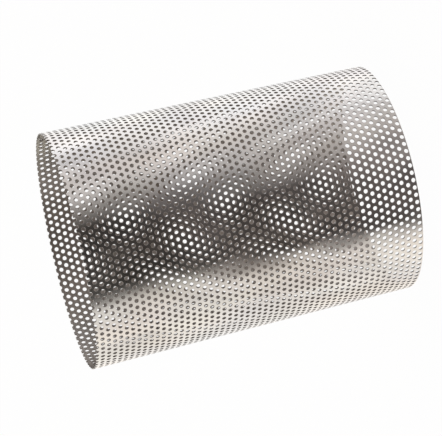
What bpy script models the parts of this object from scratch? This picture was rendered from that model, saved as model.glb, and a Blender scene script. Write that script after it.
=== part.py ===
# Strainer screen: a perforated stainless steel sheet, rolled into a tube that is
# open at both ends and butt-welded along one lengthwise seam.
# Metres, +Z up. The tube stands on its lower rim, centred on the Z axis. It is
# round at that rim and a little oval at the upper one. One modelled hole stands
# for a group of the real, much finer perforations, with the same staggered layout
# and the same open area.
import math

import bmesh
import bpy
from mathutils import Vector
from mathutils.geometry import delaunay_2d_cdt

# Driving dimensions
outer_diameter = 0.0764     # of the lower rim
top_long_diameter = 0.0797  # of the oval upper rim, over the outside
top_short_diameter = 0.0720
oval_bearing = math.radians(-17)  # where the long diameter points, from +X towards +Y
length = 0.1100
sheet_thickness = 0.0005
hole_pitch = 0.0096         # between neighbouring hole centres, the same in all six directions
hole_diameter = 0.0064
rim_margin = 0.0018         # least plain steel between a rim and the nearest holes
seam_margin = 0.0020        # least plain steel between the seam and the nearest holes
seam_gap = 0.0004           # between the butted edges of the rolled sheet
seam_bearing = math.radians(10)  # where the seam runs, from +X towards +Y
weld_width = 0.0028
weld_crown = 0.00020        # how far the weld stands proud of the sheet, inside and out
weld_setback = 0.0006       # where the weld stops short of each rim

# Facets
hole_sides = 8
weld_sides = 12

mid_radius = (outer_diameter - sheet_thickness) / 2
blank_width = 2 * math.pi * mid_radius - seam_gap
row_pitch = hole_pitch * math.sin(math.radians(60))

steel_colour = (0.62, 0.60, 0.58, 1.0)


def clear_scene():
    for old in list(bpy.data.objects):
        bpy.data.objects.remove(old, do_unlink=True)


def new_collection(name):
    collection = bpy.data.collections.new(name)
    bpy.context.scene.collection.children.link(collection)
    return collection


def new_object(name, shape, collection):
    mesh = bpy.data.meshes.new(name)
    shape.to_mesh(mesh)
    shape.free()
    made = bpy.data.objects.new(name, mesh)
    collection.objects.link(made)
    return made


def steel_material():
    material = bpy.data.materials.new("stainless_steel")
    material.use_nodes = True
    shader = material.node_tree.nodes["Principled BSDF"]
    shader.inputs["Base Color"].default_value = steel_colour
    shader.inputs["Metallic"].default_value = 1.0
    shader.inputs["Roughness"].default_value = 0.28
    return material


def fit_count(room, step):
    """How many points a step apart fit in a stretch, both its ends included."""
    return max(1, math.floor(room / step + 1e-6) + 1)


def hole_centres():
    """Staggered holes on the flat blank, as many as fit, centred between its edges."""
    stagger = hole_pitch / 2
    columns = fit_count(blank_width - stagger - hole_diameter - 2 * seam_margin, hole_pitch)
    rows = fit_count(length - hole_diameter - 2 * rim_margin, row_pitch)
    lowest = (length - (rows - 1) * row_pitch) / 2
    centres = []
    for row in range(rows):
        shift = stagger * (row % 2 - 0.5)
        for column in range(columns):
            along = (column - (columns - 1) / 2) * hole_pitch + shift
            centres.append((along, lowest + row * row_pitch))
    return centres


def hole_outline(centre):
    """One hole as a polygon with the area of its circle."""
    step = 2 * math.pi / hole_sides
    radius = hole_diameter / 2 * math.sqrt(step / math.sin(step))
    turns = [(k + 0.5) * step for k in range(hole_sides)]
    return [(centre[0] + radius * math.cos(t), centre[1] + radius * math.sin(t)) for t in turns]


def blank_outline():
    """The blank's rectangle, with points close enough on its long edges to roll round."""
    steps = math.ceil(2 * blank_width / hole_pitch)
    along = [blank_width * (i / steps - 0.5) for i in range(steps + 1)]
    return [(u, 0.0) for u in along] + [(u, length) for u in reversed(along)]


def punched_blank():
    """The flat punched sheet, triangulated evenly so that it rolls to a true round."""
    points = []
    outlines = []
    for outline in [blank_outline()] + [hole_outline(c) for c in hole_centres()]:
        outlines.append(list(range(len(points), len(points) + len(outline))))
        points += [Vector(p) for p in outline]
    inside_only = 1
    corners, _, triangles, _, _, sources = delaunay_2d_cdt(points, [], outlines, inside_only, 1e-7)
    shape = bmesh.new()
    verts = [shape.verts.new((u, 0, v)) for u, v in corners]
    for triangle, source in zip(triangles, sources):
        if source == [0]:   # in the blank and in no hole
            shape.faces.new([verts[i] for i in triangle])
    return shape


def weld_bead(tools):
    """The low crowned bead that fills the seam, used as the tool of a union."""
    shape = bmesh.new()
    bmesh.ops.create_cone(
        shape, cap_ends=True, segments=weld_sides, radius1=0.5, radius2=0.5, depth=1
    )
    bead_size = (sheet_thickness + 2 * weld_crown, weld_width, length - 2 * weld_setback)
    bmesh.ops.scale(shape, vec=bead_size, verts=shape.verts)
    bmesh.ops.translate(shape, vec=(mid_radius, 0, length / 2), verts=shape.verts)
    bead = new_object("weld_bead", shape, tools)
    bead.rotation_euler.z = seam_bearing
    bead.hide_render = True
    bead.display_type = "WIRE"
    return bead


def squeeze_top(tube, tools):
    """The round tube is pushed out of round, by nothing at its foot and fully at its top."""
    axes = bpy.data.objects.new("oval_axes", None)
    tools.objects.link(axes)
    axes.rotation_euler.z = oval_bearing
    for name, top_diameter, kept_axis in (
        ("long_axis", top_long_diameter, "lock_y"),
        ("short_axis", top_short_diameter, "lock_x"),
    ):
        taper = tube.modifiers.new(name, "SIMPLE_DEFORM")
        taper.deform_method = "TAPER"
        taper.deform_axis = "Z"
        taper.origin = axes
        taper.factor = top_diameter / outer_diameter - 1
        setattr(taper, kept_axis, True)


def screen_tube(parts, tools):
    """The blank gets its thickness, is rolled round Z, has its seam welded and its top squeezed."""
    tube = new_object("screen_tube", punched_blank(), parts)
    bend_centre = Vector((0, -mid_radius, 0))
    tube.rotation_euler.z = seam_bearing - math.radians(90)
    tube.location = bend_centre
    tube.location.rotate(tube.rotation_euler)

    thickness = tube.modifiers.new("thickness", "SOLIDIFY")
    thickness.thickness = sheet_thickness
    thickness.offset = 0

    rolling = tube.modifiers.new("rolling", "SIMPLE_DEFORM")
    rolling.deform_method = "BEND"
    rolling.deform_axis = "Z"
    rolling.angle = blank_width / mid_radius

    welding = tube.modifiers.new("welding", "BOOLEAN")
    welding.operation = "UNION"
    welding.solver = "EXACT"
    welding.object = weld_bead(tools)
    squeeze_top(tube, tools)

    tube.data.materials.append(steel_material())
    tube.data.shade_smooth()
    return tube


clear_scene()
part_collection = new_collection("strainer_screen")
tool_collection = new_collection("cutters")
screen_tube(part_collection, tool_collection)
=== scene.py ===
import math

import bmesh
import bpy
from mathutils import Euler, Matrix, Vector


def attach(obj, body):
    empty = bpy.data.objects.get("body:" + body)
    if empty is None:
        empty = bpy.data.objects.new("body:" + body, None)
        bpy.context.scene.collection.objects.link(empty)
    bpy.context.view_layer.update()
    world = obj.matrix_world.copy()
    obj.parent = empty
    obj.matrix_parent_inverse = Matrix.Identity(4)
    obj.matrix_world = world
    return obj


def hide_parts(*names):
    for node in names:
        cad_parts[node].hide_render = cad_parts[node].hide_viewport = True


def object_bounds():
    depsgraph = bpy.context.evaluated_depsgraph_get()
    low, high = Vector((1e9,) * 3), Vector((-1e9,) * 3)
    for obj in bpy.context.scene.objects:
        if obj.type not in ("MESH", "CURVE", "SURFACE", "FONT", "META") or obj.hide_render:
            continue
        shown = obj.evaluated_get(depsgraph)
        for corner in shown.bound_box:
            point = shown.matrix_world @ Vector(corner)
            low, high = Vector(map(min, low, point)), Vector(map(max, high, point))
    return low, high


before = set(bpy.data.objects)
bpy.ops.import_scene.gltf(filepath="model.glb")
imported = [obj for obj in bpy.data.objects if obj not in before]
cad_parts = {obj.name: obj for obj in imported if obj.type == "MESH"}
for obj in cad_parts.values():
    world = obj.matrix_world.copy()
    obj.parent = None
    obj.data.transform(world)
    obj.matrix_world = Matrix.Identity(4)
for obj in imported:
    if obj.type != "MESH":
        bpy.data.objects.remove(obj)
cadLow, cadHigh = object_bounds()
millimetre = 0.001


# Small helpers for building node trees

def addNode(tree, kind, values=None, **settings):
    node = tree.nodes.new(kind)
    for name, value in settings.items():
        setattr(node, name, value)
    for name, value in (values or {}).items():
        if isinstance(value, bpy.types.NodeSocket):
            tree.links.new(value, node.inputs[name])
        else:
            node.inputs[name].default_value = value
    return node


def calc(tree, operation, first, second=0.0, third=0.0):
    values = {0: first, 1: second, 2: third}
    return addNode(tree, "ShaderNodeMath", values, operation=operation).outputs[0]


def combine(tree, x=0.0, y=0.0, z=0.0):
    return addNode(tree, "ShaderNodeCombineXYZ", {"X": x, "Y": y, "Z": z}).outputs[0]


def separate(tree, vector):
    return addNode(tree, "ShaderNodeSeparateXYZ", {0: vector}).outputs


def rescale(tree, value, fromRange, toRange=(0.0, 1.0), curve="LINEAR"):
    return addNode(tree, "ShaderNodeMapRange", {
        "Value": value, "From Min": fromRange[0], "From Max": fromRange[1],
        "To Min": toRange[0], "To Max": toRange[1]}, interpolation_type=curve).outputs[0]


def mixColours(tree, factor, first, second, blend="MIX"):
    # a Mix node takes its two colours at inputs 6 and 7, and gives the mixed one at output 2
    return addNode(tree, "ShaderNodeMix", {"Factor": factor, 6: first, 7: second},
                   data_type="RGBA", blend_type=blend).outputs[2]


def addInputs(tree, inputs):
    for name, socketType in inputs.items():
        tree.interface.new_socket(name=name, in_out="INPUT", socket_type="NodeSocket" + socketType)
    return tree.nodes.new("NodeGroupInput").outputs


def newGeometryTree(name, inputs):
    tree = bpy.data.node_groups.new(name, "GeometryNodeTree")
    tree.interface.new_socket(name="Geometry", in_out="OUTPUT", socket_type="NodeSocketGeometry")
    return tree, addInputs(tree, inputs)


def endTree(tree, geometry):
    out = tree.nodes.new("NodeGroupOutput")
    tree.links.new(geometry, out.inputs[0])


def position(tree):
    return addNode(tree, "GeometryNodeInputPosition").outputs[0]


def join(tree, first, second):
    both = addNode(tree, "GeometryNodeJoinGeometry")
    tree.links.new(first, both.inputs[0])
    tree.links.new(second, both.inputs[0])
    return both.outputs[0]


def runTree(name, tree, values, startMesh=None):
    # runs the tree on an object of its own and returns the result as a plain mesh
    carrier = bpy.data.objects.new(name + "Carrier", startMesh or bpy.data.meshes.new(name))
    bpy.context.scene.collection.objects.link(carrier)
    modifier = carrier.modifiers.new("shape", "NODES")
    modifier.node_group = tree
    for item in tree.interface.items_tree:
        if item.in_out == "INPUT" and item.name in values:
            modifier[item.identifier] = values[item.name]
    evaluated = carrier.evaluated_get(bpy.context.evaluated_depsgraph_get())
    mesh = bpy.data.meshes.new_from_object(evaluated)
    bpy.data.objects.remove(carrier)
    mesh.name = name
    return mesh


def showMesh(name, mesh):
    piece = bpy.data.objects.new(name, mesh)
    bpy.context.scene.collection.objects.link(piece)
    return piece


# The rolled sheet's own sizes, where the frame doesn't give them

sheet = {
    # the sheet is drawn thinner than the solids' 0.5 mm, and its holes smaller than the 1.6 mm that
    # they stand for, so that about as much light comes through as in the photograph
    "thickness": 0.36 * millimetre,
    "mouthDiameter": 1.45 * millimetre,     # of a hole, where the punch went in
    "throatDiameter": 1.39 * millimetre,
    "lipDepth": 0.02 * millimetre,
    "holeSides": 12,
    "holeSpacing": 2.4133 * millimetre,
    "rowSpacing": 2.017 * millimetre,
    "rowSlant": -0.00334,           # how much the rows climb round the tube: the blank was cut askew
    "firstRowHeight": 0.878 * millimetre,   # above the lower rim, where a column runs straight up
    "straightBearing": math.radians(-94.75),
    "topMeanRadius": 0.9917,        # share of the lower rim's radius
    "topOval": 1.885 * millimetre,  # what the upper rim's radius gains one way and loses the other
    "ovalBearing": math.radians(-17.3),
    "seamBearing": math.radians(10),
    "seamGap": 0.2 * millimetre,
    "rowsInPiece": 14,
    "pieces": 4,
    "smoothLimit": math.radians(25),        # an edge that turns more stays sharp
    "cellMerge": 0.01 * millimetre,         # how near two cells' corners count as one
    "wallMerge": 0.001 * millimetre,        # the same for a wall's foot and the sheet's under side
    "cutMerge": 0.001 * millimetre,         # and for a corner and a cut
    "rimReach": 0.01 * millimetre,          # a wall nearer to a rim than this belongs to it
}
tubeLength = cadHigh.z - cadLow.z
footRadius = (cadHigh.y - cadLow.y) / 2 - sheet["thickness"] / 2    # of the middle of the sheet
topRadius = footRadius * sheet["topMeanRadius"]
print("frame loaded, tube", round(2 * footRadius, 4), "by", round(tubeLength, 4))


# Materials

steelGrain = {
    "patchLean": -0.15,         # radians, of the patches against the tube
    "patchStretch": 2.2,        # how much longer the patches are up the tube than across it
    "grainSquash": 0.06,        # the grain's rate up the tube, as a share of that across it
    "waveRate": 0.8,            # of the waves and the hues, as a share of the patches'
    "roughnessSpan": (0.3, 0.7),    # the patches' noise values at the lowest and highest roughness
    "toneSpan": (0.35, 0.65),       # and at the darkest and lightest tone
    "patchShare": 0.65,         # of the patches in the tone
    "grainShare": 0.4,
    "blueByRed": -0.7,          # how blue follows red in the hue, and how far it goes its own way
    "blueAlone": 0.9,
}


def steelGrainGroup():
    # dull and bright patches, a faint grain along the tube, the waviness of rolled sheet and its hues
    tree = bpy.data.node_groups.new("steelGrain", "ShaderNodeTree")
    sockets = addInputs(tree, {
        "Patch Scale": "Float", "Grain Scale": "Float", "Roughness Low": "Float", "Roughness High": "Float",
        "Wave Height": "Float", "Grain Height": "Float", "Hue Spread": "Float", "Hue Seed": "Float"})
    outputs = {"Tone": "Float", "Hue": "Color", "Roughness": "Float", "Height": "Float"}
    for name, socketType in outputs.items():
        tree.interface.new_socket(name=name, in_out="OUTPUT", socket_type="NodeSocket" + socketType)
    place = addNode(tree, "ShaderNodeTexCoord").outputs["Object"]
    patchPlace = addNode(tree, "ShaderNodeMapping", {
        "Vector": place, "Rotation": (0.0, steelGrain["patchLean"], 0.0),
        "Scale": (1.0, 1.0, steelGrain["patchStretch"])}, vector_type="TEXTURE").outputs[0]
    grainPlace = addNode(tree, "ShaderNodeMapping", {
        "Vector": place, "Scale": (1.0, 1.0, steelGrain["grainSquash"])}).outputs[0]
    waveScale = calc(tree, "MULTIPLY", sockets["Patch Scale"], steelGrain["waveRate"])
    patches = addNode(tree, "ShaderNodeTexNoise", {
        "Vector": patchPlace, "Scale": sockets["Patch Scale"], "Detail": 2.0,
        "Roughness": 0.5}).outputs["Fac"]
    grain = addNode(tree, "ShaderNodeTexNoise", {
        "Vector": grainPlace, "Scale": sockets["Grain Scale"], "Detail": 2.0}).outputs["Fac"]
    waves = addNode(tree, "ShaderNodeTexNoise", {
        "Vector": patchPlace, "Scale": waveScale, "Detail": 1.0}).outputs["Fac"]
    hues = addNode(tree, "ShaderNodeTexNoise", {
        "Vector": patchPlace, "W": sockets["Hue Seed"], "Scale": waveScale, "Detail": 1.0},
        noise_dimensions="4D").outputs["Color"]

    # blue mostly falls where red rises, so that patches turn warm or cool and not green
    parts = separate(tree, hues)
    red = calc(tree, "SUBTRACT", parts["X"], 0.5)
    blue = calc(tree, "SUBTRACT", parts["Z"], 0.5)
    ownBlue = calc(tree, "MULTIPLY", blue, steelGrain["blueAlone"])
    shift = combine(tree, x=red, z=calc(tree, "MULTIPLY_ADD", red, steelGrain["blueByRed"], ownBlue))
    hue = addNode(tree, "ShaderNodeVectorMath", {
        0: shift, 1: sockets["Hue Spread"], 2: (1.0, 1.0, 1.0)}, operation="MULTIPLY_ADD").outputs[0]

    roughness = rescale(tree, patches, steelGrain["roughnessSpan"],
                        (sockets["Roughness Low"], sockets["Roughness High"]))
    contrast = rescale(tree, patches, steelGrain["toneSpan"])
    tone = calc(tree, "ADD", calc(tree, "MULTIPLY", contrast, steelGrain["patchShare"]),
                calc(tree, "MULTIPLY", grain, steelGrain["grainShare"]))
    height = calc(tree, "ADD", calc(tree, "MULTIPLY", waves, sockets["Wave Height"]),
                  calc(tree, "MULTIPLY", grain, sockets["Grain Height"]))
    out = tree.nodes.new("NodeGroupOutput")
    for name, socket in (("Tone", tone), ("Hue", hue), ("Roughness", roughness), ("Height", height)):
        tree.links.new(socket, out.inputs[name])
    return tree


def seamTintGroup():
    # how strongly the sheet is tinted beside the seam, for the heat tint outside and for painted light
    # inside; Near and Far are angles from it
    tree = bpy.data.node_groups.new("seamTint", "ShaderNodeTree")
    sockets = addInputs(tree, {
        "Seam Bearing": "Float", "Near": "Float", "Far": "Float", "Uneven Scale": "Float"})
    tree.interface.new_socket(name="Mask", in_out="OUTPUT", socket_type="NodeSocketFloat")
    place = addNode(tree, "ShaderNodeTexCoord").outputs["Object"]
    spot = separate(tree, place)
    bearing = calc(tree, "ARCTAN2", spot["Y"], spot["X"])
    fromSeam = calc(tree, "ABSOLUTE", calc(tree, "SUBTRACT", bearing, sockets["Seam Bearing"]))
    unevenness = addNode(tree, "ShaderNodeTexNoise", {
        "Vector": place, "Scale": sockets["Uneven Scale"], "Detail": 2.0}).outputs["Fac"]
    farEdge = calc(tree, "MULTIPLY", sockets["Far"], calc(tree, "ADD", unevenness, 0.5))
    mask = rescale(tree, fromSeam, (sockets["Near"], farEdge), (1.0, 0.0), "SMOOTHSTEP")
    out = tree.nodes.new("NodeGroupOutput")
    tree.links.new(mask, out.inputs["Mask"])
    return tree


# mixes a colour into a material beside the seam: the weld's heat tint outside, painted light inside
def addSeamTint(material, tintGroup, tint):
    tree = material.node_tree
    colour = tree.nodes["Principled BSDF"].inputs["Base Color"]
    mask = addNode(tree, "ShaderNodeGroup", {
        "Seam Bearing": sheet["seamBearing"], "Near": tint["near"] / footRadius,
        "Far": tint["far"] / footRadius, "Uneven Scale": tint["unevenScale"]},
        node_tree=tintGroup).outputs["Mask"]
    strength = calc(tree, "MULTIPLY", mask, tint["strength"])
    tree.links.new(mixColours(tree, strength, colour.links[0].from_socket, tint["colour"]), colour)


def steelMaterial(name, grainGroup, look):
    material = bpy.data.materials.new(name)
    material.use_nodes = True
    tree = material.node_tree
    shader = tree.nodes["Principled BSDF"]
    shader.inputs["Metallic"].default_value = 1.0
    grain = addNode(tree, "ShaderNodeGroup", node_tree=grainGroup)
    for socket in grain.inputs:
        socket.default_value = look[socket.name]
    colour = mixColours(tree, grain.outputs["Tone"], look["darkColour"], look["lightColour"])
    hued = mixColours(tree, 1.0, colour, grain.outputs["Hue"], "MULTIPLY")
    tree.links.new(hued, shader.inputs["Base Color"])
    tree.links.new(grain.outputs["Roughness"], shader.inputs["Roughness"])
    bump = addNode(tree, "ShaderNodeBump", {
        "Height": grain.outputs["Height"], "Distance": 1.0, "Strength": 1.0})
    tree.links.new(bump.outputs["Normal"], shader.inputs["Normal"])
    return material


sheetLook = {
    "darkColour": (0.68, 0.665, 0.665, 1.0),
    "lightColour": (0.94, 0.92, 0.90, 1.0),
    "Patch Scale": 100.0, "Grain Scale": 1300.0,
    "Roughness Low": 0.14, "Roughness High": 0.26,
    "Wave Height": 0.0006, "Grain Height": 0.000002,
    "Hue Spread": 0.12, "Hue Seed": 0.52,
}
insideShadedLook = {     # the tube's inner side is rougher, and its colours are painted darker as shade inside the tube
    "darkColour": (0.41, 0.385, 0.365, 1.0),
    "lightColour": (0.55, 0.52, 0.495, 1.0),
    "Patch Scale": 90.0, "Grain Scale": 2500.0,
    "Roughness Low": 0.38, "Roughness High": 0.50,
    "Wave Height": 0.00012, "Grain Height": 0.000002,
    "Hue Spread": 0.12, "Hue Seed": 0.52,
}
edgeShadedLook = {       # the holes' walls and the cut edges at the seam: rougher, and painted very dark as shade inside the holes
    "darkColour": (0.13, 0.12, 0.11, 1.0),
    "lightColour": (0.24, 0.225, 0.21, 1.0),
    "Patch Scale": 400.0, "Grain Scale": 3000.0,
    "Roughness Low": 0.30, "Roughness High": 0.45,
    "Wave Height": 0.0, "Grain Height": 0.000004,
    "Hue Spread": 0.05, "Hue Seed": 0.52,
}
rimLook = {        # the sheared edges at both ends
    "darkColour": (0.46, 0.44, 0.40, 1.0),
    "lightColour": (0.70, 0.68, 0.63, 1.0),
    "Patch Scale": 400.0, "Grain Scale": 3000.0,
    "Roughness Low": 0.25, "Roughness High": 0.40,
    "Wave Height": 0.0, "Grain Height": 0.000004,
    "Hue Spread": 0.05, "Hue Seed": 0.52,
}
seamTint = {       # outside, straw coloured from the weld's heat
    "near": 1.4 * millimetre,
    "far": 3.6 * millimetre,
    "unevenScale": 250.0,
    "colour": (0.62, 0.46, 0.27, 1.0),
    "strength": 0.45,
}
insideSeamLight = {     # inside, painted light: the inner wall is brighter on both sides of the seam
    "near": 4.0 * millimetre,
    "far": 19.0 * millimetre,
    "unevenScale": 250.0,
    "colour": (0.80, 0.79, 0.72, 1.0),
    "strength": 0.85,
}
grainGroup = steelGrainGroup()
sheetSteel = steelMaterial("sheetSteel", grainGroup, sheetLook)
# the inner side's steel: painted shade all over, and painted light beside the seam (added below)
insideShadeAndLightSteel = steelMaterial("insideShadeAndLightSteel", grainGroup, insideShadedLook)
# the walls' steel, painted dark as shade inside the holes
cutShadedSteel = steelMaterial("cutShadedSteel", grainGroup, edgeShadedLook)
rimSteel = steelMaterial("rimSteel", grainGroup, rimLook)
tintGroup = seamTintGroup()
addSeamTint(sheetSteel, tintGroup, seamTint)
# painted light on the inner wall beside the seam
addSeamTint(insideShadeAndLightSteel, tintGroup, insideSeamLight)
print("materials made")


# The punched sheet, flat: X runs round the tube from the column that stays straight, and Y up it

def fillBetween(tree, outer, inner):
    both = join(tree, outer, inner)
    return addNode(tree, "GeometryNodeFillCurve", {"Curve": both}, mode="TRIANGLES").outputs[0]


def punchedSheetTree():
    tree, sockets = newGeometryTree("punchedSheet", {
        "Hole Spacing": "Float", "Row Spacing": "Float", "Mouth Radius": "Float", "Throat Radius": "Float",
        "Lip Depth": "Float", "Hole Sides": "Int",
        "First Column": "Int", "Columns": "Int", "First Row": "Int", "Rows": "Int",
        "First Height": "Float", "Slant": "Float", "Material": "Material"})

    # one cell: a hole in its share of the sheet, with a lip that sinks from the mouth to the throat
    outline = addNode(tree, "GeometryNodeCurvePrimitiveQuadrilateral", {
        "Width": sockets["Hole Spacing"], "Height": sockets["Row Spacing"]})
    corners = addNode(tree, "GeometryNodeSubdivideCurve", {"Curve": outline.outputs[0], "Cuts": 1})
    mouth, throat = [addNode(tree, "GeometryNodeCurvePrimitiveCircle", {
        "Resolution": sockets["Hole Sides"], "Radius": sockets[name]}).outputs[0]
        for name in ("Mouth Radius", "Throat Radius")]
    web = fillBetween(tree, corners.outputs[0], mouth)
    lip = fillBetween(tree, mouth, throat)
    reach = addNode(tree, "ShaderNodeVectorMath", {0: position(tree)}, operation="LENGTH").outputs["Value"]
    bothRadii = calc(tree, "ADD", sockets["Mouth Radius"], sockets["Throat Radius"])
    atThroat = calc(tree, "LESS_THAN", reach, calc(tree, "MULTIPLY", bothRadii, 0.5))
    sinking = combine(tree, z=calc(tree, "MULTIPLY", sockets["Lip Depth"], -1.0))
    sunk = addNode(tree, "GeometryNodeSetPosition", {
        "Geometry": lip, "Selection": atThroat, "Offset": sinking})
    cell = join(tree, web, sunk.outputs[0])

    # the cells side by side, with every other row moved by half a spacing
    index = addNode(tree, "GeometryNodeInputIndex").outputs[0]
    rowsDone = calc(tree, "DIVIDE", calc(tree, "ADD", index, 0.5), sockets["Columns"])
    localRow = calc(tree, "FLOOR", rowsDone)
    localColumn = calc(tree, "SUBTRACT", index, calc(tree, "MULTIPLY", localRow, sockets["Columns"]))
    row = calc(tree, "ADD", localRow, sockets["First Row"])
    stagger = calc(tree, "MULTIPLY", calc(tree, "FLOORED_MODULO", row, 2.0), 0.5)
    column = calc(tree, "ADD", calc(tree, "ADD", localColumn, sockets["First Column"]), stagger)
    place = combine(tree, calc(tree, "MULTIPLY", column, sockets["Hole Spacing"]),
                    calc(tree, "MULTIPLY", row, sockets["Row Spacing"]))
    points = addNode(tree, "GeometryNodePoints", {
        "Count": calc(tree, "MULTIPLY", sockets["Columns"], sockets["Rows"]), "Position": place})
    copies = addNode(tree, "GeometryNodeInstanceOnPoints", {"Points": points.outputs[0], "Instance": cell})
    real = addNode(tree, "GeometryNodeRealizeInstances", {"Geometry": copies.outputs[0]})
    merged = addNode(tree, "GeometryNodeMergeByDistance", {
        "Geometry": real.outputs[0], "Distance": sheet["cellMerge"]})

    # the rows lie at a slant
    spot = separate(tree, position(tree))
    climb = calc(tree, "MULTIPLY", spot["X"], sockets["Slant"])
    lift = combine(tree, y=calc(tree, "ADD", climb, sockets["First Height"]))
    placed = addNode(tree, "GeometryNodeSetPosition", {"Geometry": merged.outputs[0], "Offset": lift})
    finished = addNode(tree, "GeometryNodeSetMaterial", {
        "Geometry": placed.outputs[0], "Material": sockets["Material"]})
    endTree(tree, finished.outputs[0])
    return tree


def flatPlace(bearing, share):
    # where a line up the tube lies across the flat blank, at a share of the tube's length
    meanRadius = footRadius + share * (topRadius - footRadius)
    slip = [math.sin(2 * (b - sheet["ovalBearing"])) for b in (bearing, sheet["straightBearing"])]
    evenPlace = meanRadius * (bearing - sheet["straightBearing"])
    return evenPlace + share * sheet["topOval"] / 2 * (slip[0] - slip[1])


def shearToSize(mesh):
    # the blank is sheared from a larger punched sheet, so the cuts run through holes
    shape = bmesh.new()
    shape.from_mesh(mesh)
    cuts = [((0, 0, 0), (0, -1, 0)), ((0, tubeLength, 0), (0, 1, 0))]
    halfGap = sheet["seamGap"] / 2 / footRadius
    lastBearing = sheet["seamBearing"] - halfGap
    firstBearing = sheet["seamBearing"] - 2 * math.pi + halfGap
    for side, bearing in ((1, lastBearing), (-1, firstBearing)):
        foot, top = flatPlace(bearing, 0), flatPlace(bearing, 1)
        cuts.append(((foot, 0, 0), (side * tubeLength, side * (foot - top), 0)))
    for point, outward in cuts:
        geometry = shape.verts[:] + shape.edges[:] + shape.faces[:]
        bmesh.ops.bisect_plane(shape, geom=geometry, dist=sheet["cutMerge"],
                               plane_co=point, plane_no=outward, clear_outer=True)
    bmesh.ops.recalc_face_normals(shape, faces=shape.faces)
    if sum(face.normal.z for face in shape.faces) < 0:
        bmesh.ops.reverse_faces(shape, faces=shape.faces)
    shape.to_mesh(mesh)
    shape.free()


# Rolling, shared by the sheet and the weld

rollInputs = {
    "Foot Radius": "Float", "Top Radius": "Float", "Length": "Float", "Straight Bearing": "Float",
    "Top Oval": "Float", "Oval Bearing": "Float"}
rollValues = {
    "Foot Radius": footRadius, "Top Radius": topRadius, "Length": tubeLength,
    "Straight Bearing": sheet["straightBearing"], "Top Oval": sheet["topOval"],
    "Oval Bearing": sheet["ovalBearing"]}


def ovalWave(tree, wave, bearing, ovalBearing):
    # a sine or cosine that goes through two waves in one turn of the tube
    doubled = calc(tree, "MULTIPLY", calc(tree, "SUBTRACT", bearing, ovalBearing), 2.0)
    return calc(tree, wave, doubled)


def rollRoundTree():
    # bends flat geometry round Z: X becomes the way round, Y the height and Z the depth outwards
    tree, sockets = newGeometryTree("rollRound", {"Geometry": "Geometry", **rollInputs})
    ovalBearing = sockets["Oval Bearing"]
    spot = separate(tree, position(tree))
    share = calc(tree, "DIVIDE", spot["Y"], sockets["Length"])
    change = calc(tree, "SUBTRACT", sockets["Top Radius"], sockets["Foot Radius"])
    meanRadius = calc(tree, "MULTIPLY_ADD", share, change, sockets["Foot Radius"])
    oval = calc(tree, "MULTIPLY", share, sockets["Top Oval"])
    even = calc(tree, "ADD", calc(tree, "DIVIDE", spot["X"], meanRadius), sockets["Straight Bearing"])
    # the sheet keeps its length round the oval, so it slips a little against an even turn
    slip = calc(tree, "SUBTRACT", ovalWave(tree, "SINE", even, ovalBearing),
                ovalWave(tree, "SINE", sockets["Straight Bearing"], ovalBearing))
    slipShare = calc(tree, "MULTIPLY", calc(tree, "DIVIDE", oval, meanRadius), -0.5)
    bearing = calc(tree, "MULTIPLY_ADD", slip, slipShare, even)
    bulge = ovalWave(tree, "COSINE", bearing, ovalBearing)
    middle = calc(tree, "MULTIPLY_ADD", bulge, oval, meanRadius)
    radius = calc(tree, "ADD", middle, spot["Z"])
    rolled = combine(tree, calc(tree, "MULTIPLY", radius, calc(tree, "COSINE", bearing)),
                     calc(tree, "MULTIPLY", radius, calc(tree, "SINE", bearing)), spot["Y"])
    moved = addNode(tree, "GeometryNodeSetPosition", {
        "Geometry": sockets["Geometry"], "Position": rolled})
    endTree(tree, moved.outputs[0])
    return tree


def smoothByAngle(tree, geometry, limit):
    smooth = addNode(tree, "GeometryNodeSetShadeSmooth", {"Geometry": geometry})
    angle = addNode(tree, "GeometryNodeInputMeshEdgeAngle").outputs["Unsigned Angle"]
    steep = addNode(tree, "FunctionNodeCompare", {0: angle, 1: limit},
                    operation="GREATER_THAN", data_type="FLOAT")
    sharp = addNode(tree, "GeometryNodeSetShadeSmooth", {
        "Geometry": smooth.outputs[0], "Selection": steep.outputs[0], "Shade Smooth": False},
        domain="EDGE")
    return sharp.outputs[0]


def addRoll(tree, sockets, geometry, rollTree):
    roll = addNode(tree, "GeometryNodeGroup", node_tree=rollTree)
    tree.links.new(geometry, roll.inputs["Geometry"])
    for name in rollInputs:
        tree.links.new(sockets[name], roll.inputs[name])
    return roll.outputs[0]


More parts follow.
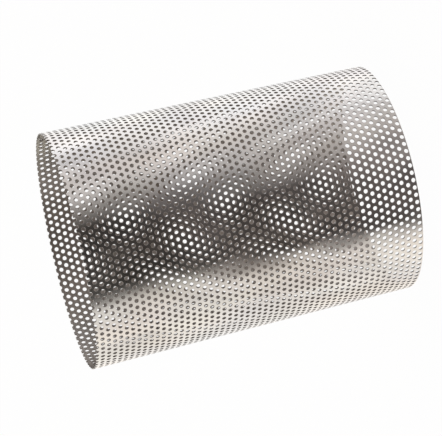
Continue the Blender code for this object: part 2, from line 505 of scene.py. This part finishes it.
def rolledSheetTree(rollTree):
    # the flat sheet gets its thickness and is rolled
    tree, sockets = newGeometryTree("rolledSheet", {
        "Geometry": "Geometry", "Thickness": "Float", **rollInputs,
        "Outside": "Material", "Inside": "Material", "Hole Walls": "Material", "Rims": "Material"})
    down = combine(tree, z=calc(tree, "MULTIPLY", sockets["Thickness"], -0.5))
    lowered = addNode(tree, "GeometryNodeSetPosition", {"Geometry": sockets["Geometry"], "Offset": down})
    raised = addNode(tree, "GeometryNodeExtrudeMesh", {
        "Mesh": lowered.outputs[0], "Offset": combine(tree, z=sockets["Thickness"]),
        "Offset Scale": 1.0, "Individual": False}, mode="FACES")
    under = addNode(tree, "GeometryNodeFlipFaces", {"Mesh": lowered.outputs[0]})
    closed = addNode(tree, "GeometryNodeMergeByDistance", {
        "Geometry": join(tree, raised.outputs["Mesh"], under.outputs[0]),
        "Distance": sheet["wallMerge"]})
    rolled = addRoll(tree, sockets, closed.outputs[0], rollTree)
    shaded = smoothByAngle(tree, rolled, sheet["smoothLimit"])
    real = addNode(tree, "GeometryNodeRealizeInstances", {"Geometry": shaded})

    # each side has its steel, and the walls that stand at a rim are told from those of the holes
    halfLength = calc(tree, "MULTIPLY", sockets["Length"], 0.5)
    height = separate(tree, position(tree))["Z"]
    fromMiddle = calc(tree, "ABSOLUTE", calc(tree, "SUBTRACT", height, halfLength))
    rimStart = calc(tree, "SUBTRACT", halfLength, sheet["rimReach"])
    walls = raised.outputs["Side"]
    rims = calc(tree, "MULTIPLY", walls, calc(tree, "GREATER_THAN", fromMiddle, rimStart))
    finished = addNode(tree, "GeometryNodeSetMaterial", {
        "Geometry": real.outputs[0], "Material": sockets["Inside"]})
    for chosen, name in ((raised.outputs["Top"], "Outside"), (walls, "Hole Walls"), (rims, "Rims")):
        finished = addNode(tree, "GeometryNodeSetMaterial", {
            "Geometry": finished.outputs[0], "Selection": chosen, "Material": sockets[name]})
    endTree(tree, finished.outputs[0])
    return tree


punchedTree = punchedSheetTree()
rollTree = rollRoundTree()
rolledTree = rolledSheetTree(rollTree)
sectorStep = 2 * math.pi / sheet["holeSides"]
evenArea = math.sqrt(sectorStep / math.sin(sectorStep))    # gives a hole's polygon the area of its circle
firstColumn = math.floor(flatPlace(sheet["seamBearing"] - 2 * math.pi, 0) / sheet["holeSpacing"]) - 1
lastColumn = math.ceil(flatPlace(sheet["seamBearing"], 1) / sheet["holeSpacing"]) + 1


def screenPiece(name, firstRow):
    # the screen is in pieces, by rows, because one mesh for all would be too large
    flat = runTree(name + "Flat", punchedTree, {
        "Hole Spacing": sheet["holeSpacing"], "Row Spacing": sheet["rowSpacing"],
        "Mouth Radius": sheet["mouthDiameter"] / 2 * evenArea,
        "Throat Radius": sheet["throatDiameter"] / 2 * evenArea,
        "Lip Depth": sheet["lipDepth"], "Hole Sides": sheet["holeSides"],
        "First Column": firstColumn, "Columns": lastColumn - firstColumn + 1,
        "First Row": firstRow, "Rows": sheet["rowsInPiece"], "First Height": sheet["firstRowHeight"],
        "Slant": sheet["rowSlant"], "Material": sheetSteel})
    shearToSize(flat)
    mesh = runTree(name, rolledTree, {
        "Thickness": sheet["thickness"], **rollValues,
        "Outside": sheetSteel, "Inside": insideShadeAndLightSteel, "Hole Walls": cutShadedSteel, "Rims": rimSteel}, flat)
    piece = showMesh(name, mesh)
    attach(piece, "root")
    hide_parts("screen_tube")
    mesh.calc_loop_triangles()
    print(name, "made,", len(mesh.loop_triangles), "triangles")


# rows are counted from -1, so that the sheet reaches below the lower cut all the way round
for number in range(sheet["pieces"]):
    screenPiece("screenRows" + str(number + 1), number * sheet["rowsInPiece"] - 1)


# The weld that closes the seam

weld = {
    "width": 2.8 * millimetre,
    "crown": 0.20 * millimetre,     # how far its middle stands proud of the sheet, inside and out
    "setback": 0.6 * millimetre,    # where it stops short of each rim
    "sunk": 0.05 * millimetre,      # how deep its long edges lie in the sheet
    "rippleSpacing": 0.9 * millimetre,
    "rippleHeight": 0.045 * millimetre,
    "rippleBow": 0.8 * millimetre,  # how far a ripple's ends lie below its middle
    "stepsAcross": 9,
    "stepsPerRipple": 6,
    "smoothLimit": math.radians(50),
}
weldLook = {
    "darkColour": (0.56, 0.54, 0.51, 1.0),
    "lightColour": (0.78, 0.76, 0.73, 1.0),
    "Patch Scale": 300.0, "Grain Scale": 1500.0,
    "Roughness Low": 0.20, "Roughness High": 0.32,
    "Wave Height": 0.00002, "Grain Height": 0.000003,
    "Hue Spread": 0.08, "Hue Seed": 0.52,
}


def weldBeadTree(rollTree):
    tree, sockets = newGeometryTree("weldBead", {
        "Width": "Float", "Bead Length": "Float", "Seam Foot": "Float", "Seam Top": "Float",
        "Edge Height": "Float", "Crown Height": "Float", "Ripple Spacing": "Float",
        "Ripple Height": "Float", "Ripple Bow": "Float", "Steps Across": "Int", "Steps Along": "Int",
        **rollInputs, "Material": "Material"})
    # the bar's own height only tells its outer side from its inner one
    bar = addNode(tree, "GeometryNodeMeshCube", {
        "Size": combine(tree, sockets["Width"], sockets["Bead Length"], 2.0),
        "Vertices X": sockets["Steps Across"], "Vertices Y": sockets["Steps Along"], "Vertices Z": 2})
    spot = separate(tree, position(tree))
    across = calc(tree, "DIVIDE", calc(tree, "MULTIPLY", spot["X"], 2.0), sockets["Width"])
    square = calc(tree, "MULTIPLY", across, across)
    arch = calc(tree, "MAXIMUM", calc(tree, "SUBTRACT", 1.0, square), 0.0)
    bowed = calc(tree, "MULTIPLY_ADD", square, sockets["Ripple Bow"], spot["Y"])
    turns = calc(tree, "MULTIPLY", calc(tree, "DIVIDE", bowed, sockets["Ripple Spacing"]), 2 * math.pi)
    ripple = calc(tree, "MULTIPLY", calc(tree, "SINE", turns), sockets["Ripple Height"])
    rise = calc(tree, "MULTIPLY", arch, calc(tree, "ADD", sockets["Crown Height"], ripple))
    height = calc(tree, "ADD", sockets["Edge Height"], rise)
    up = calc(tree, "MULTIPLY_ADD", sockets["Length"], 0.5, spot["Y"])
    share = calc(tree, "DIVIDE", up, sockets["Length"])
    lean = calc(tree, "SUBTRACT", sockets["Seam Top"], sockets["Seam Foot"])
    seam = calc(tree, "MULTIPLY_ADD", share, lean, sockets["Seam Foot"])
    shaped = combine(tree, calc(tree, "ADD", spot["X"], seam), up,
                     calc(tree, "MULTIPLY", calc(tree, "SIGN", spot["Z"]), height))
    bead = addNode(tree, "GeometryNodeSetPosition", {
        "Geometry": bar.outputs["Mesh"], "Position": shaped})
    rolled = addRoll(tree, sockets, bead.outputs[0], rollTree)
    shaded = smoothByAngle(tree, rolled, weld["smoothLimit"])
    real = addNode(tree, "GeometryNodeRealizeInstances", {"Geometry": shaded})
    finished = addNode(tree, "GeometryNodeSetMaterial", {
        "Geometry": real.outputs[0], "Material": sockets["Material"]})
    endTree(tree, finished.outputs[0])
    return tree


weldSteel = steelMaterial("weldSteel", grainGroup, weldLook)
weldLength = tubeLength - 2 * weld["setback"]
weldMesh = runTree("seamWeld", weldBeadTree(rollTree), {
    "Width": weld["width"], "Bead Length": weldLength,
    "Seam Foot": flatPlace(sheet["seamBearing"], 0), "Seam Top": flatPlace(sheet["seamBearing"], 1),
    "Edge Height": sheet["thickness"] / 2 - weld["sunk"],
    "Crown Height": weld["crown"] + weld["sunk"], "Ripple Spacing": weld["rippleSpacing"],
    "Ripple Height": weld["rippleHeight"], "Ripple Bow": weld["rippleBow"],
    "Steps Across": weld["stepsAcross"],
    "Steps Along": math.ceil(weldLength / weld["rippleSpacing"] * weld["stepsPerRipple"]),
    **rollValues, "Material": weldSteel})
seamWeld = showMesh("seamWeld", weldMesh)
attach(seamWeld, "root")
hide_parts("screen_tube")
print("weld made")


# Camera, as the photograph was taken, with the tube's top at the picture's left

view = {
    "imageWidth": 442,
    "focalPixels": 2080.3,
    "sensorWidth": 36.0,    # in millimetres
    "distance": 0.6760,     # in front of the tube's axis
    "height": 0.1982,       # above the lower rim
    "pitch": 0.0013,        # the three turns in radians, from looking level along +Y
    "yaw": -0.2060,
    "roll": -0.2315,
    "clipStart": 0.01,
    "clipEnd": 20.0,
}


def addCamera():
    data = bpy.data.cameras.new("camera")
    data.sensor_width = view["sensorWidth"]
    data.lens = view["focalPixels"] / view["imageWidth"] * view["sensorWidth"]
    data.clip_start = view["clipStart"]
    data.clip_end = view["clipEnd"]
    camera = bpy.data.objects.new("camera", data)
    bpy.context.scene.collection.objects.link(camera)
    # start: looking along +Y with the tube's top at the picture's left, so that the picture's up is +X
    start = Euler((math.radians(90), math.radians(90), 0), "XYZ").to_matrix()
    pitch = Euler((view["pitch"], 0, 0), "XYZ").to_matrix()
    yaw = Euler((0, -view["yaw"], 0), "XYZ").to_matrix()
    roll = Euler((0, 0, -view["roll"]), "XYZ").to_matrix()
    turned = start @ pitch.transposed() @ yaw.transposed() @ roll.transposed()
    camera.rotation_euler = turned.to_euler()
    camera.location = (0, -view["distance"], view["height"])
    bpy.context.scene.camera = camera


addCamera()
print("camera set")


# Floor, studio and light

studio = {
    "floorSize": 6.0,
    "floorHeight": -0.2 * millimetre,
    "floorColour": (0.9, 0.9, 0.9, 1.0),
    "floorRoughness": 0.9,
    "floorWhite": 0.97,     # how much of the floor's look in the camera is plain white
    "plainWhite": (1.0, 1.0, 1.0, 1.0),
    "brightness": 1.0,
    "neutral": (1.0, 0.997, 0.995),
    "warm": (1.0, 0.95, 0.875),
    "rosy": (1.0, 0.935, 0.89),      # takes warm's place at the bearings below 0
    # what the steel sees round the studio: degrees from behind the camera, brightness, and warmth
    "stops": ((-180, 1.08, 0.0), (-130, 1.16, 0.0), (-112, 1.14, 0.0), (-96, 1.00, 0.1), (-80, 0.78, 0.3),
              (-62, 0.80, 0.6), (-46, 0.62, 0.8), (-30, 0.30, 0.9), (-8, 0.045, 1.6), (47, 0.030, 1.6),
              (67, 0.84, 0.95), (90, 0.92, 0.95), (130, 1.04, 0.8), (160, 1.12, 0.5), (180, 1.08, 0.0)),
    # a dark card low at one side, which the steel near its lower rim shows
    "cardBearing": -54.0,
    "cardHeight": -0.34,    # sine of the angle from level
    "cardHalfWidth": 46.0,
    "cardHalfHeight": 0.11,
    "cardCore": 0.3,        # share of the card, from its middle, that has the full shade
    "cardShade": 0.52,
    # the steeper the steel looks up or down, the more it sees of this glow, which fills the dark gap
    "glow": 0.6,
    "glowColour": (1.0, 0.86, 0.815, 1.0),
    "glowStart": 0.10,      # sine of the angle from level
    "glowEnd": 0.90,
}


def addFloor():
    bpy.ops.mesh.primitive_plane_add(size=studio["floorSize"], location=(0, 0, studio["floorHeight"]))
    floor = bpy.context.object
    floor.name = "floor"
    material = bpy.data.materials.new("floorPaper")
    material.use_nodes = True
    tree = material.node_tree
    paper = tree.nodes["Principled BSDF"]
    paper.inputs["Base Color"].default_value = studio["floorColour"]
    paper.inputs["Roughness"].default_value = studio["floorRoughness"]
    rays = addNode(tree, "ShaderNodeLightPath")
    white = addNode(tree, "ShaderNodeEmission", {"Color": studio["plainWhite"], "Strength": 1.0})
    share = calc(tree, "MULTIPLY", rays.outputs["Is Camera Ray"], studio["floorWhite"])
    mixed = addNode(tree, "ShaderNodeMixShader", {0: share, 1: paper.outputs[0], 2: white.outputs[0]})
    tree.links.new(mixed.outputs[0], tree.nodes["Material Output"].inputs["Surface"])
    floor.data.materials.append(material)
    floor.visible_glossy = False


def setStops(elements):
    while len(elements) < len(studio["stops"]):
        elements.new(0.5)
    for element, (degrees, level, warmth) in zip(elements, studio["stops"]):
        element.position = degrees / 360 + 0.5
        warm = studio["warm"] if degrees > 0 else studio["rosy"]
        tint = [n + warmth * (w - n) for n, w in zip(studio["neutral"], warm)]
        element.color = (*[level * part for part in tint], 1.0)


def cardShade(tree, bearing, height):
    # the share of the light that the card leaves: it is a dark oval with a soft edge
    fromSide = calc(tree, "SUBTRACT", bearing, math.radians(studio["cardBearing"]))
    across = calc(tree, "DIVIDE", fromSide, math.radians(studio["cardHalfWidth"]))
    fromHeight = calc(tree, "SUBTRACT", height, studio["cardHeight"])
    upright = calc(tree, "DIVIDE", fromHeight, studio["cardHalfHeight"])
    squares = calc(tree, "MULTIPLY_ADD", across, across, calc(tree, "MULTIPLY", upright, upright))
    return rescale(tree, calc(tree, "SQRT", squares), (studio["cardCore"], 1.0),
                   (1.0 - studio["cardShade"], 1.0), "SMOOTHSTEP")


def addStudio():
    # white to the camera; the steel sees it all round, with one dark gap behind the camera
    world = bpy.data.worlds.new("studio")
    bpy.context.scene.world = world
    world.use_nodes = True
    tree = world.node_tree
    background = tree.nodes["Background"]
    way = separate(tree, addNode(tree, "ShaderNodeTexCoord").outputs["Generated"])
    bearing = calc(tree, "ARCTAN2", calc(tree, "MULTIPLY", way["X"], -1.0),
                   calc(tree, "MULTIPLY", way["Y"], -1.0))
    turnShare = calc(tree, "MULTIPLY_ADD", bearing, 0.5 / math.pi, 0.5)     # 0.5 is behind the camera
    ramp = addNode(tree, "ShaderNodeValToRGB", {0: turnShare})
    setStops(ramp.color_ramp.elements)
    shaded = addNode(tree, "ShaderNodeVectorMath", {
        0: ramp.outputs[0], "Scale": cardShade(tree, bearing, way["Z"])}, operation="SCALE").outputs[0]
    glow = rescale(tree, calc(tree, "ABSOLUTE", way["Z"]), (studio["glowStart"], studio["glowEnd"]),
                   (0.0, studio["glow"]), "SMOOTHSTEP")
    glowing = mixColours(tree, glow, shaded, studio["glowColour"])
    rays = addNode(tree, "ShaderNodeLightPath")
    seen = mixColours(tree, rays.outputs["Is Camera Ray"], glowing, studio["plainWhite"])
    tree.links.new(seen, background.inputs["Color"])
    background.inputs["Strength"].default_value = studio["brightness"]


addFloor()
addStudio()
bpy.context.scene.view_settings.view_transform = "Standard"
print("stage lit")
